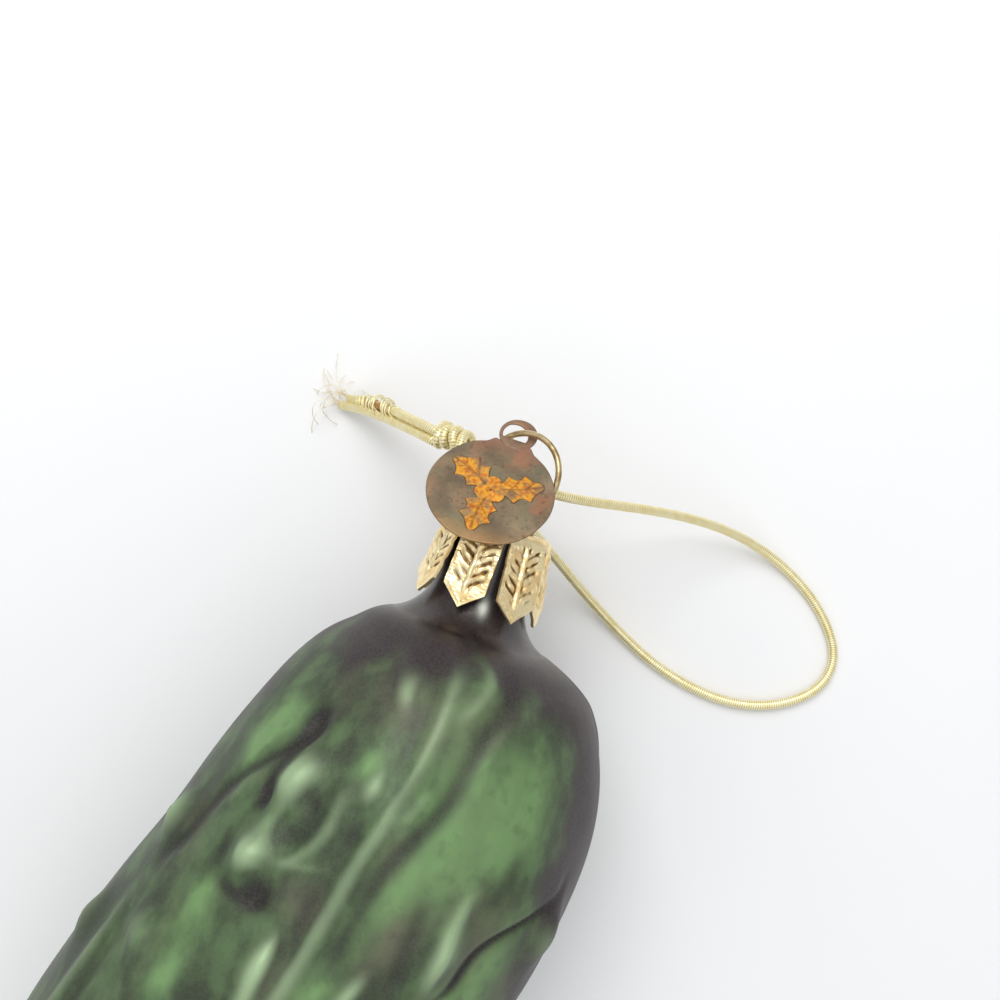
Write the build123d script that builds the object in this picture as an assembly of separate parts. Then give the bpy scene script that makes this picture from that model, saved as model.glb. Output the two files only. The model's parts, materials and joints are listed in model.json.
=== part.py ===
from build123d import *

import os
from math import acos, atan2, cos, hypot, pi, radians, sin, tan

# A blown-glass pickle ornament lying on a table, with its crown cap, wire bail, brass tag and gold cord.
# Millimetres. +Z is up and the table is Z = 0. The glass neck's axis runs along +Y, out of the cap, and the
# body bends away from that axis towards -X. The model is built with the top of the cap at X = 0, Y = 0 and
# is shifted at the end, so that the origin lies under the middle of the ornament without its cord.

# Glass body: a superellipse of revolution on an axis that bends and then runs straight
BELLY_RADIUS = 22.5
BELLY_AT = 38.0
BODY_LENGTH = 96.0
SHOULDER_FULLNESS = 2.85
TIP_FULLNESS = 1.9
BEND_RADIUS = 115.0
BENT_LENGTH = 52.0
BODY_OFFSET = 1.9
GLASS_WALL = 1.0
NECK_RADIUS = 5.55
NECK_LENGTH = 11.4
NECK_FLARE = 1.5
NECK_SINK = 0.75
BORE_RUN = 4.0
BELLY_CLEARANCE = 0.8
LOFT_STEPS = 9
FIRST_STEP = 0.1
CUT_PAST = 1.0

# Warts, as (share of the way from shoulder to tip, angle from the top towards +X)
WART_RADIUS = 4.2
WART_HEIGHT = 1.2
WART_SHARES = [
    (0.217, -33), (0.252, -31.5), (0.330, -31), (0.380, -66), (0.258, 65), (0.302, 27), (0.422, -10),
    (0.479, 24), (0.500, -42), (0.458, 62), (0.583, 4), (0.573, -72), (0.625, 48), (0.677, -28),
    (0.729, 14), (0.719, 82), (0.792, -58), (0.833, 40), (0.885, -8), (0.344, 108), (0.521, 112),
    (0.688, 124), (0.854, 108), (0.167, 112), (0.250, -108), (0.438, -104), (0.625, -114), (0.802, -116),
    (0.917, 172),
]
# Four small bumps under the belly, on which the body lies
FOOT_SPACING = 26.0
FOOT_ANGLE = 15.0
FOOT_RADIUS = 4.5

# Crown cap: a sheet disc with petals folded down round the neck
CAP_SHEET = 0.35
CAP_FIT = 0.1
CAP_FOLD = 0.8
PETAL_COUNT = 7
PETAL_WIDTH = 5.0
PETAL_LENGTH = 10.0
PETAL_POINT = 2.1
PETAL_FLARE = 8.0
PETAL_ROOT = 1.5
CAP_TURN = -14.0

# Bail: one wire, an arch on two spring legs that go through the cap into the neck
WIRE = 0.75
HOLE_CLEARANCE = 0.12
BAIL_SPREAD = 3.7
BAIL_REACH = 11.4
ARCH_RADIUS = 4.8
LEG_STAND = 1.0
LEG_BEND = 2.0
LEG_LENGTH = 7.5
BAIL_ROLL = 28.0

# Tag: a stamped disc with an eye, hung on the bail and leaning on the cap's edge
TAG_RADIUS = 7.35
TAG_SHEET = 0.3
EYE_HOLE = 1.65
EYE_RIM = 0.65
EYE_SHIFT = 0.2
EYE_ANGLE = 30.0
TAG_LIFT = 8.0
TAG_GAP = 0.5

# Cord: gold-wrapped, from the knot through the bail, round on the table and back to the knot
CORD = 1.2
KNOT_AT = (-8.7, 7.9, 17.0)
KNOT_CORE = 2.1
KNOT_BULGE = 1.25
KNOT_SPREAD = 1.68
KNOT_RISE = 0.62
KNOT_TURNS = 5
LOOP_ROUTE = [
    (-8.2, 7.6, 18.0), (-6.4, 6.9, 21.0), (-4.6, 6.0, 23.0), (-1.5, 5.5, 23.9), (2.0, 5.3, 23.4),
    (5.6, 5.5, 22.2), (9.8, 6.2, 19.3), (15.0, 7.3, 14.3), (21.6, 8.4, 8.4), (28.4, 8.7, 3.9),
    (35.0, 7.5, 1.2), (40.9, 4.8, 0.7), (45.2, 1.2, 0.65), (47.5, -2.5, 0.65), (47.3, -6.3, 0.65),
    (44.7, -9.5, 0.65), (40.4, -11.9, 0.65), (35.2, -12.9, 0.65), (29.6, -12.4, 0.65), (24.1, -10.9, 0.7),
    (18.6, -8.3, 1.1), (13.2, -5.3, 2.6), (8.5, -2.4, 5.4), (4.0, 0.3, 9.0), (-0.4, 2.8, 12.2),
    (-4.6, 5.4, 14.8), (-7.8, 7.3, 16.4),
]
TAIL_UPPER_ROUTE = [
    (-9.6, 8.6, 16.9), (-12.0, 8.5, 15.4), (-15.2, 9.0, 11.4), (-18.9, 9.5, 7.0), (-22.1, 9.5, 3.5),
    (-24.4, 9.2, 1.6),
]
TAIL_LOWER_ROUTE = [
    (-9.6, 7.0, 16.2), (-11.8, 6.8, 14.8), (-15.1, 7.3, 10.9), (-19.4, 7.7, 6.3), (-22.9, 7.8, 2.6),
    (-25.3, 7.5, 0.8),
]
BEND_SHARE = 0.45

AXIS_HEIGHT = BELLY_RADIUS + BELLY_CLEARANCE
MOUTH_Y = -CAP_SHEET
SHOULDER_Y = MOUTH_Y - NECK_LENGTH
NECK_BORE = NECK_RADIUS - GLASS_WALL
CAP_RADIUS = NECK_RADIUS + CAP_FIT + CAP_SHEET
DISC_RADIUS = CAP_RADIUS - CAP_FOLD
ARCH_CENTRE = BAIL_REACH - ARCH_RADIUS
EYE_REACH = TAG_RADIUS + EYE_HOLE

# Across the bail from leg to leg, and the middle of the cap's disc, about which the bail swings
BAIL_ACROSS = Vector(cos(radians(BAIL_ROLL)), 0, sin(radians(BAIL_ROLL)))
NECK_AXIS = Vector(0, 1, 0)
BAIL_PIVOT = Vector(0, -CAP_SHEET / 2, AXIS_HEIGHT)


def body_place(distance):
    """Point on the body's axis, and how far the axis has turned there."""
    turn = min(distance, BENT_LENGTH) / BEND_RADIUS
    straight = max(distance - BENT_LENGTH, 0)
    x = BODY_OFFSET - BEND_RADIUS * (1 - cos(turn)) - straight * sin(turn)
    y = SHOULDER_Y - BEND_RADIUS * sin(turn) - straight * cos(turn)
    return Vector(x, y, AXIS_HEIGHT), turn


def body_across(turn):
    """Level direction across the body's axis, towards +X."""
    return Vector(cos(turn), -sin(turn), 0)


def swell(share, fullness):
    """Superellipse: radius as a share of the belly's, at a share of the way from the belly to an end."""
    return (1 - share ** fullness) ** (1 / fullness)


def body_radius(distance):
    """Outer radius of the body at a distance along its axis."""
    if distance < BELLY_AT:
        return BELLY_RADIUS * swell((BELLY_AT - distance) / BELLY_AT, SHOULDER_FULLNESS)
    return BELLY_RADIUS * swell((distance - BELLY_AT) / (BODY_LENGTH - BELLY_AT), TIP_FULLNESS)


def body_form(inset):
    """The pickle's closed form, smaller by the inset all round, lofted through circles on the bent axis."""
    belly = BELLY_RADIUS - inset
    front = BELLY_AT - inset
    back = BODY_LENGTH - BELLY_AT - inset
    angles = [FIRST_STEP + (pi / 2 - FIRST_STEP) * step / LOFT_STEPS for step in range(LOFT_STEPS + 1)]
    stations = []
    for angle in angles:
        stations.append((BELLY_AT - front * cos(angle), belly * swell(cos(angle), SHOULDER_FULLNESS)))
    for angle in angles[-2::-1]:
        stations.append((BELLY_AT + back * cos(angle), belly * swell(cos(angle), TIP_FULLNESS)))
    circles = []
    for distance, radius in stations:
        centre, turn = body_place(distance)
        heading = Vector(-sin(turn), -cos(turn), 0)
        circles.append(Plane(origin=centre, x_dir=body_across(turn), z_dir=heading) * Circle(radius))
    tip, _ = body_place(BELLY_AT + back)
    return loft(circles + [Vertex(tip)])


def glass_body():
    """Hollow glass: body, warts and neck, less the cavity and the bore of the neck."""
    neck_plane = Plane(origin=(0, SHOULDER_Y, AXIS_HEIGHT), x_dir=(1, 0, 0), z_dir=NECK_AXIS)
    upright = (Align.CENTER, Align.CENTER, Align.MIN)
    flare_radius = NECK_RADIUS + NECK_FLARE
    neck = Pos(0, 0, -NECK_SINK) * Cylinder(NECK_RADIUS, NECK_LENGTH + NECK_SINK, align=upright)
    neck = fillet(neck.edges().group_by(Axis.Z)[-1], CAP_FOLD - CAP_SHEET)
    neck += Pos(0, 0, -NECK_SINK) * Cylinder(flare_radius, NECK_FLARE + NECK_SINK, align=upright)
    neck -= Pos(0, 0, NECK_FLARE) * Torus(flare_radius, NECK_FLARE)
    bore = Pos(0, 0, -BORE_RUN) * Cylinder(NECK_BORE, BORE_RUN + NECK_LENGTH + CUT_PAST, align=upright)
    bumps = []
    for share, angle in WART_SHARES:
        distance = share * BODY_LENGTH
        centre, turn = body_place(distance)
        depth = body_radius(distance) + WART_HEIGHT - WART_RADIUS
        out = body_across(turn) * sin(radians(angle)) + Vector(0, 0, cos(radians(angle)))
        bumps.append(Pos(*(centre + out * depth)) * Sphere(WART_RADIUS))
    for distance in (BELLY_AT - FOOT_SPACING / 2, BELLY_AT + FOOT_SPACING / 2):
        centre, turn = body_place(distance)
        for side in (-1, 1):
            spot = centre + body_across(turn) * (side * body_radius(distance) * sin(radians(FOOT_ANGLE)))
            bumps.append(Pos(spot.X, spot.Y, FOOT_RADIUS) * Sphere(FOOT_RADIUS))
    outer = body_form(0).fuse(neck_plane * neck, *bumps)
    return outer - body_form(GLASS_WALL) - neck_plane * bore


def cap_petal(angle):
    """One petal: the folded sheet's profile drawn out to the petal's width, cut to its pointed outline."""
    out = Vector(sin(radians(angle)), 0, cos(radians(angle)))
    middle = Vector(0, 0, AXIS_HEIGHT)
    tip_radius = CAP_RADIUS + PETAL_LENGTH * tan(radians(PETAL_FLARE))
    slant = CAP_SHEET / cos(radians(PETAL_FLARE))
    corner_outside = (CAP_RADIUS, 0)
    corner_inside = (CAP_RADIUS - slant, -CAP_SHEET)
    profile = make_face(Polyline(
        (DISC_RADIUS - PETAL_ROOT, 0), corner_outside, (tip_radius, -PETAL_LENGTH),
        (tip_radius - slant, -PETAL_LENGTH), corner_inside, (DISC_RADIUS - PETAL_ROOT, -CAP_SHEET),
        close=True))
    profile = fillet(profile.vertices().sort_by_distance(corner_outside)[0], CAP_FOLD)
    profile = fillet(profile.vertices().sort_by_distance(corner_inside)[0], CAP_FOLD - CAP_SHEET)
    side_plane = Plane(origin=middle, x_dir=out, z_dir=out.cross(NECK_AXIS))
    strip = extrude(side_plane * profile, PETAL_WIDTH / 2, both=True)
    half = PETAL_WIDTH / 2
    shoulder = PETAL_POINT - PETAL_LENGTH
    outline = make_face(Polyline(
        (-half, CAP_SHEET), (half, CAP_SHEET), (half, shoulder), (0, -PETAL_LENGTH), (-half, shoulder),
        close=True))
    front_plane = Plane(origin=middle, x_dir=NECK_AXIS.cross(out), z_dir=out)
    return strip & extrude(front_plane * outline, tip_radius + CUT_PAST)


def crown_cap():
    """The disc with its ring of petals, and two holes for the bail's legs."""
    top_plane = Plane(origin=(0, 0, AXIS_HEIGHT), x_dir=BAIL_ACROSS, z_dir=NECK_AXIS)
    below = (Align.CENTER, Align.CENTER, Align.MAX)
    disc = top_plane * Cylinder(DISC_RADIUS, CAP_SHEET, align=below)
    pitch = 360 / PETAL_COUNT
    cap = disc.fuse(*[cap_petal(CAP_TURN + pitch * number) for number in range(PETAL_COUNT)])
    for side in (-1, 1):
        hole = Cylinder(WIRE / 2 + HOLE_CLEARANCE, 2 * (CAP_SHEET + CUT_PAST))
        cap -= top_plane * Pos(side * BAIL_SPREAD, 0, 0) * hole
    return cap


def bail_wire():
    """The wire's path in its own plane: leg, splay to the arch, arch, and the other side the same."""
    stand = (BAIL_SPREAD, LEG_STAND)
    lean = atan2(LEG_STAND - ARCH_CENTRE, BAIL_SPREAD)
    touch = lean + acos(ARCH_RADIUS / hypot(BAIL_SPREAD, ARCH_CENTRE - LEG_STAND))
    meet = (ARCH_RADIUS * cos(touch), ARCH_CENTRE + ARCH_RADIUS * sin(touch))
    leg = FilletPolyline((BAIL_SPREAD, -LEG_LENGTH), stand, meet, radius=LEG_BEND)
    far_meet = (-meet[0], meet[1])
    far_stand = (-BAIL_SPREAD, LEG_STAND)
    far_leg = FilletPolyline(far_meet, far_stand, (-BAIL_SPREAD, -LEG_LENGTH), radius=LEG_BEND)
    arch = ThreePointArc(meet, (0, BAIL_REACH), far_meet)
    path = Wire(leg.edges() + arch.edges() + far_leg.edges())
    wire = sweep(Plane(origin=path @ 0, z_dir=path % 0) * Circle(WIRE / 2), path)
    return Plane(origin=BAIL_PIVOT, x_dir=BAIL_ACROSS, z_dir=BAIL_ACROSS.cross(NECK_AXIS)) * wire


def wire_at_eye():
    """Point of the arch that the tag's eye hangs on, and the wire's direction there."""
    angle = radians(EYE_ANGLE)
    centre = BAIL_PIVOT + NECK_AXIS * ARCH_CENTRE
    point = centre - BAIL_ACROSS * (ARCH_RADIUS * sin(angle)) + NECK_AXIS * (ARCH_RADIUS * cos(angle))
    return point, BAIL_ACROSS * cos(angle) + NECK_AXIS * sin(angle)


def tag_place():
    """Plane of the tag: through the wire at the eye, and clear of the upper edge of the cap's fold."""
    point, _ = wire_at_eye()
    across = Vector(cos(radians(TAG_LIFT)), 0, sin(radians(TAG_LIFT)))
    fold_drop = CAP_FOLD * (1 - cos(pi / 4))
    corner = Vector(0, -fold_drop, AXIS_HEIGHT + hypot(CAP_RADIUS - fold_drop, PETAL_WIDTH / 2))
    lean = across.cross(point - corner).normalized()
    face = across.cross(point - corner - lean * (TAG_GAP + TAG_SHEET / 2)).normalized()
    return Plane(origin=point, x_dir=across, z_dir=face)


def tag_disc():
    """The disc and its eye, cut from one sheet. The eye sits off the wire, where the bend leaves it room."""
    place = tag_place()
    _, wire_run = wire_at_eye()
    shadow = Vector(wire_run.dot(place.x_dir), wire_run.dot(place.y_dir), 0).normalized()
    disc = Pos(0, -EYE_REACH, 0) * Cylinder(TAG_RADIUS, TAG_SHEET)
    tag = disc + Cylinder(EYE_HOLE + EYE_RIM, TAG_SHEET) - Cylinder(EYE_HOLE, TAG_SHEET + CUT_PAST)
    return place * Pos(*(shadow * EYE_SHIFT)) * tag


def cord_tube(name, points):
    """Round cord along straight runs joined by arcs as large as the runs allow."""
    points = [Vector(*point) for point in points]
    runs = [b - a for a, b in zip(points, points[1:])]
    radii = []
    for first, second in zip(runs, runs[1:]):
        half_turn = radians(first.get_angle(second)) / 2
        radii.append(BEND_SHARE * min(first.length, second.length) / tan(half_turn))
    path = FilletPolyline(*points, radius=radii)
    tube = sweep(Plane(origin=path @ 0, z_dir=path % 0) * Circle(CORD / 2), path)
    straight_volume = pi * CORD ** 2 / 4 * path.length
    print(name, "length", round(path.length, 1), "radii", [round(radius, 1) for radius in radii])
    print(name, "volume", round(tube.volume, 3), "of section times length", round(straight_volume, 3))
    return tube


def cord_knot():
    """The tied lump: a core with the bulges of the turns that are drawn tight about it."""
    bulges = []
    for number in range(KNOT_TURNS):
        angle = 2 * pi * number / KNOT_TURNS
        spot = (KNOT_SPREAD * cos(angle), KNOT_RISE * sin(2 * angle), KNOT_SPREAD * sin(angle))
        bulges.append(Pos(*spot) * Sphere(KNOT_BULGE))
    return Pos(*KNOT_AT) * Sphere(KNOT_CORE).fuse(*bulges)


def main():
    ornament = {
        "glass_body": glass_body(),
        "crown_cap": crown_cap(),
        "bail_wire": bail_wire(),
        "tag_disc": tag_disc(),
    }
    box = Compound(children=[shape.solid() for shape in ornament.values()]).bounding_box()
    to_origin = Pos(-box.center().X, -box.center().Y, 0)
    cord = {
        "cord_loop": cord_tube("cord_loop", LOOP_ROUTE),
        "cord_knot": cord_knot(),
        "cord_tail_upper": cord_tube("cord_tail_upper", TAIL_UPPER_ROUTE),
        "cord_tail_lower": cord_tube("cord_tail_lower", TAIL_LOWER_ROUTE),
    }
    os.makedirs("parts", exist_ok=True)
    for name, shape in {**ornament, **cord}.items():
        export_step(to_origin * shape, os.path.join("parts", name + ".step"))
    print("shift to the origin", to_origin.position)


if __name__ == "__main__":
    main()
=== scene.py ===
import json

import bpy
import numpy as np
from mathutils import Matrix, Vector


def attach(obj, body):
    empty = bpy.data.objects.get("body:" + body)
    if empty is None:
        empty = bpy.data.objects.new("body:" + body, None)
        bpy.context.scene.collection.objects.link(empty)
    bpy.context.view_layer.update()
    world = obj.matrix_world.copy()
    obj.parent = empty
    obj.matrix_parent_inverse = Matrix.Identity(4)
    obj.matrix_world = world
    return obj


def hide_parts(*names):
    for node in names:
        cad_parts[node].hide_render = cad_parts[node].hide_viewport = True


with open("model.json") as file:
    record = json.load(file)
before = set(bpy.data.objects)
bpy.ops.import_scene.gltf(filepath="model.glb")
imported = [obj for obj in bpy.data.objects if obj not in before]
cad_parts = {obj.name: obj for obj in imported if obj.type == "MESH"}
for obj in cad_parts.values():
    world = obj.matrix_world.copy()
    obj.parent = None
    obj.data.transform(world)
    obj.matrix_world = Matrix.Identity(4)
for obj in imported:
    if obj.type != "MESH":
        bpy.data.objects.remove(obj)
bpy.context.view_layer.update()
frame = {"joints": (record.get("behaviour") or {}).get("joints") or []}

# Glass body: a hollow shell of blown glass, silvered inside and sprayed outside with satin green lacquer.
# The lacquer runs to purple brown at the shoulder, and down the flanks the same purple brown is painted
# shade. The mould gave the wall its ridges, creases and warts, which carry painted highlights and painted
# shade. The open neck stands in the cap.
MM = 0.001
# Sizes are millimetres from the middle of the cap's top, with +Y out of the cap and z from the table.
swing = next(joint for joint in frame["joints"] if joint["name"] == "bail_swing")
cap_sheet = 0.35
axis_height = swing["pos_m"][2] / MM
home = np.array([swing["pos_m"][0], swing["pos_m"][1] + cap_sheet * MM / 2, 0.0])

belly_radius = 22.5
belly_at = 38.0
body_length = 96.0
shoulder_fullness = 2.85
tip_fullness = 1.9
bend_radius = 115.0
bent_length = 52.0
body_offset = 1.9
offset_ease = 5.0
glass_wall = 1.0
neck_radius = 5.55
neck_length = 11.4
neck_flare = 6.0
flare_turn = np.radians(70.0)
lip_round = 0.45
bore_radius = neck_radius - glass_wall
shoulder_y = -cap_sheet - neck_length
body_columns = 336
tip_rows = 112
shoulder_rows = 129
flare_rows = 19
neck_rows = 7
lip_rows = 11
inner_rows = 10
bore_rows = 5
tip_start = 0.03
inner_tip_end = 0.06


def swell(share, fullness):
    """Superellipse: (1 - share^n)^(1/n), the radius at a share of the way from the belly to an end."""
    return (1 - share**fullness) ** (1 / fullness)


def smooth(value, low, high):
    """Smooth step from 0 at low to 1 at high: 3t^2 - 2t^3 of the clipped share of the way."""
    share = np.clip((value - low) / (high - low), 0, 1)
    return share * share * (3 - 2 * share)


def bell(value):
    """Bell curve: exp(-value^2)."""
    return np.exp(-(value**2))


def circle(count):
    """Angles spaced evenly round a circle."""
    return np.linspace(0, 2 * np.pi, count, endpoint=False)


def unit(vectors):
    """Vectors divided by their lengths."""
    return vectors / np.linalg.norm(vectors, axis=-1, keepdims=True)


def glass_profile():
    """Distance along the axis and radius: first of the tip, belly and shoulder, then of the rest.

    Tip and shoulder are superellipse quarters by angle. The rest is the flare at the neck's root and the
    lip, which are circle arcs, the straight neck, and the inner wall, a wall's thickness further in.
    """
    back = body_length - belly_at
    tip_turn = np.linspace(tip_start, 1, tip_rows) * np.pi / 2
    flare_reach = neck_radius + neck_flare * (1 - np.cos(flare_turn))
    flare_share = swell(flare_reach / belly_radius, shoulder_fullness)
    shoulder_turn = np.linspace(np.pi / 2, np.arccos(flare_share), shoulder_rows)[1:]
    outer = np.concatenate([
        np.stack([belly_at + back * np.cos(tip_turn),
                  belly_radius * swell(np.cos(tip_turn), tip_fullness)]),
        np.stack([belly_at - belly_at * np.cos(shoulder_turn),
                  belly_radius * swell(np.cos(shoulder_turn), shoulder_fullness)]),
    ], axis=1)
    bend = np.linspace(flare_turn, 0, flare_rows)[1:]
    flare = np.stack([outer[0, -1] - neck_flare * (np.sin(flare_turn) - np.sin(bend)),
                      neck_radius + neck_flare * (1 - np.cos(bend))])
    quarter = np.linspace(0, np.pi / 2, lip_rows)[1:]
    rise = np.linspace(flare[0, -1], lip_round - neck_length, neck_rows)[1:]
    neck = np.stack([rise, np.full_like(rise, neck_radius)])
    lip = np.stack([lip_round * (1 - np.sin(quarter)) - neck_length,
                    neck_radius - lip_round * (1 - np.cos(quarter))])
    inner_belly = belly_radius - glass_wall
    front = belly_at - glass_wall
    start = np.arccos(swell(bore_radius / inner_belly, shoulder_fullness))
    inner_turn = np.linspace(start, np.pi / 2, inner_rows)
    inner_tip_turn = np.linspace(np.pi / 2, inner_tip_end, inner_rows)[1:]
    bore_end = belly_at - front * np.cos(start)
    bore_rise = np.linspace(lip_round / 2 - neck_length, bore_end, bore_rows)[:-1]
    inner = np.concatenate([
        np.stack([bore_rise, np.full_like(bore_rise, bore_radius)]),
        np.stack([belly_at - front * np.cos(inner_turn),
                  inner_belly * swell(np.cos(inner_turn), shoulder_fullness)]),
        np.stack([belly_at + (back - glass_wall) * np.cos(inner_tip_turn),
                  inner_belly * swell(np.cos(inner_tip_turn), tip_fullness)]),
    ], axis=1)
    return outer, np.concatenate([flare, neck, lip, inner], axis=1)


def body_rings(distance, radius, angle):
    """Points a radius out from the axis, at an angle from the top towards +X.

    The axis starts on the neck's, eases aside by the offset, follows an arc of the bend radius for the
    bent length and then runs straight.
    """
    turn = np.clip(distance, 0, bent_length) / bend_radius
    straight = distance - np.clip(distance, 0, bent_length)
    aside = body_offset * smooth(distance, 0, offset_ease)
    x = aside - bend_radius * (1 - np.cos(turn)) - straight * np.sin(turn)
    y = shoulder_y - bend_radius * np.sin(turn) - straight * np.cos(turn)
    across = radius * np.sin(angle)
    up = axis_height + radius * np.cos(angle)
    return np.stack([x + across * np.cos(turn), y - across * np.sin(turn), up], axis=-1)


outer_wall, inner_wall = glass_profile()
body_distance, body_radius = outer_wall[..., None]
body_angle = circle(body_columns)[None, :]


def round_from(degrees):
    """Distance round the body from an angle: the radius times the turn, the short way round."""
    turn = (body_angle - np.radians(degrees) + np.pi) % (2 * np.pi) - np.pi
    return body_radius * turn


def streak(points, width):
    """Soft line along the body through (distance, angle) points: a bell curve of gap / width.

    The gap is the distance round the body from a polynomial fitted to the points, and the line fades in
    and out over a short run at its ends.
    """
    along, angle = np.array(points).T
    within = np.clip(body_distance, along[0], along[-1])
    power = min(4, len(along) - 1)
    centre = np.polyval(np.polyfit(along, angle, power), within)
    fade = 0.8 + 0.15 * (along[-1] - along[0])
    ends = smooth(body_distance, along[0] - fade, along[0] + fade)
    ends = ends * (1 - smooth(body_distance, along[-1] - fade, along[-1] + fade))
    return ends * bell(round_from(centre) / width)


def lump(distance, degrees, length, width):
    """Soft oval spot: exp(-(along / length)^2 - (round / width)^2)."""
    return np.exp(-((body_distance - distance) / length) ** 2 - (round_from(degrees) / width) ** 2)


# Mould lines as (height, painted light, width, points): a ridge stands up and carries a painted
# highlight, partly lacquer worn pale, and a crease dips and carries painted shade, partly dark lacquer
# held in it.
# The points are (distance from the shoulder, angle from the top towards +X).
mould_lines = [
    (0.4, 0.42, 1.2, [(2, -6), (5, -4.2), (9, -3.5), (13, -2.9), (18, -4.6), (23, -5.2)]),
    (0.45, 0.55, 1.2, [(21, -5.2), (28, -5.4), (33, -4.8), (37, -3.4), (41, -2.6), (58, -8)]),
    (0.3, 0.45, 1.1, [(2.2, 12), (5.7, 8), (8.3, 4)]),
    (0.3, 0.7, 1.4, [(3.9, -27), (5.6, -23), (7.7, -19.5), (9.5, -18)]),
    (0.3, 0.25, 1.7, [(4.1, 31), (7.5, 20.5), (11, 15.5), (14.9, 11.8)]),
    (0.5, 0.65, 0.85, [(22.5, 26.8), (26.2, 26), (29.5, 26.8), (33, 28.6)]),
    (0.25, 0.45, 0.8, [(16, 3.5), (18.2, 1.5), (20.6, 0.5)]),
    (0.35, 0.42, 0.95, [(22.2, -17), (25.4, -17), (28.4, -19.5), (30.6, -23.2)]),
    (0.2, 0.3, 1.0, [(27.8, -10), (28.7, -15.2), (30.1, -20.5)]),
    (0.5, 0.85, 1.05, [(36.8, -11.5), (39.7, -10.5), (43, -8.6), (47, -7.5)]),
    (0.5, 0.8, 0.9, [(34.8, 12.3), (37.2, 11.8), (43, 11)]),
    (0.35, 0.05, 2.4, [(33, -41), (37.5, -38), (48.6, -30.2), (60, -27)]),
    (0.15, 0.35, 0.85, [(25.5, -46.8), (29.7, -49.2)]),
    (-0.4, -0.9, 0.95, [(14.2, -38.2), (18.9, -38.5), (23.8, -39.8), (26.6, -37.2)]),
    (-0.4, -0.75, 1.05, [(16, -39.5), (19.9, -42.2), (24, -48.5), (28.7, -52.8), (35.5, -55.5),
                         (41.2, -57.5)]),
    (-0.5, -1.0, 0.85, [(20.4, 64.2), (23.1, 54), (25.8, 43.2), (29.2, 37.5), (33.5, 34.5)]),
    (-0.25, -0.75, 1.55, [(4.8, 19), (9.2, 12.2), (12.5, 10.8), (16.8, 7.3), (22.1, 3.4), (25.5, 1.4)]),
    (-0.2, -0.55, 1.1, [(25, 1.4), (30, 2.0), (36, 3.4)]),
    (-0.2, -0.45, 1.15, [(4, -12), (9.4, -10), (14.8, -7.6), (18.7, -8.3), (23.1, -9.5), (29.1, -8.8)]),
    (-0.3, -0.55, 1.4, [(25, 15), (29.9, 18.2), (35, 20.5)]),
    (-0.2, -0.45, 1.6, [(17, 36.5), (20.5, 36), (24, 32.5)]),
    (-0.25, -0.55, 0.95, [(32, -9.6), (37, -7.6), (43, -5.8)]),
]
# Warts and dents as (distance, angle, height, length, width, painted light): a painted highlight on a
# wart and painted shade in a dent, and plain warts of one size
warts = [
    (21.9, -32.6, 1.3, 3.4, 2.0, 0.95), (27.7, -31.8, 0.3, 1.8, 1.0, 0.4),
    (31.6, -30.9, 1.4, 2.3, 1.9, 0.95), (36.5, -66, 1.2, 3.0, 2.2, 0.7),
    (24.8, 65, 1.2, 3.0, 2.2, 0.7), (18.2, -11.3, 0.35, 2.0, 1.3, 0.75),
    (20.6, -18.3, 0.3, 2.0, 1.0, 0.3), (34.6, -22.8, -0.7, 1.9, 1.8, -1.25),
    (33.4, -38.4, -0.3, 2.6, 1.3, -0.75), (36.3, -30, -0.25, 1.3, 2.3, -0.8),
    (23.1, -24.0, -0.3, 1.4, 1.2, -0.65), (26.6, -24.6, -0.3, 1.6, 1.3, -0.7),
    (15.4, -39.8, -0.3, 2.0, 1.7, -0.9), (31.2, -10.8, -0.25, 1.8, 1.4, -0.45),
    (25.4, -37.6, -0.3, 1.6, 1.2, -0.9), (16.6, -21.5, -0.15, 3.0, 1.8, -0.4),
    (11.5, -26.0, -0.15, 3.5, 2.4, -0.45),
]
plain_warts = [
    (29, 27), (40.5, -10), (46, 24), (48, -42), (44, 62), (56, 4), (55, -72), (60, 48),
    (65, -28), (70, 14), (69, 82), (76, -58), (80, 40), (85, -8), (33, 108), (50, 112),
    (66, 124), (82, 108), (16, 112), (24, -108), (42, -104), (60, -114), (77, -116), (88, 172),
]
plain_wart = (1.0, 2.7, 2.2, 0.35)
warts += [place + plain_wart for place in plain_warts]
# Ridges with a crease beside them go on round the far side, in two rows, the first at every other angle,
# and along the top of the thin end. Their places along the body are shares of its length, and they bow
# to either side in turn, by an angle.
far_angles = (106, 124, 143, 163, 188, 211, 236, 262)
far_bow = 5
row_gap = 0.03
row_half = 0.12
last_row = 0.70
thin_end_angles = (-58, -36, -12, 12, 34, 58)
thin_end_bow = 4
thin_end_half = 0.15
# Far ridges and creases as (height, painted light, width): a painted highlight on a ridge, painted shade
# in a crease.
far_ridge = (0.55, 0.45, 1.1)
far_crease = (-0.30, -0.45, 0.9)
crease_aside = 6
far_routes = []
for number, degrees in enumerate(far_angles):
    begin = 0.04 + 0.09 * (number % 4)
    half = 0.16 + 0.03 * (number % 3)
    bow = far_bow * (-1) ** number
    end = begin + 2 * half
    if number % 2 == 0:
        far_routes.append([(begin, degrees - bow), (begin + half, degrees), (end, degrees - bow / 2)])
    row = min(end + row_gap, last_row)
    row_end = (row + 2 * row_half, degrees + 2 * bow)
    far_routes.append([(row, degrees + bow), (row + row_half, degrees), row_end])
for number, degrees in enumerate(thin_end_angles):
    begin = 0.52 + 0.05 * (number % 3)
    middle = (begin + thin_end_half, degrees + thin_end_bow * (-1) ** number)
    far_routes.append([(begin, degrees), middle, (begin + 2 * thin_end_half, degrees)])
for route in far_routes:
    ridge = [(share * body_length, degrees) for share, degrees in route]
    crease = [(along, degrees + crease_aside) for along, degrees in ridge]
    mould_lines.append((*far_ridge, ridge))
    mould_lines.append((*far_crease, crease))
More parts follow.
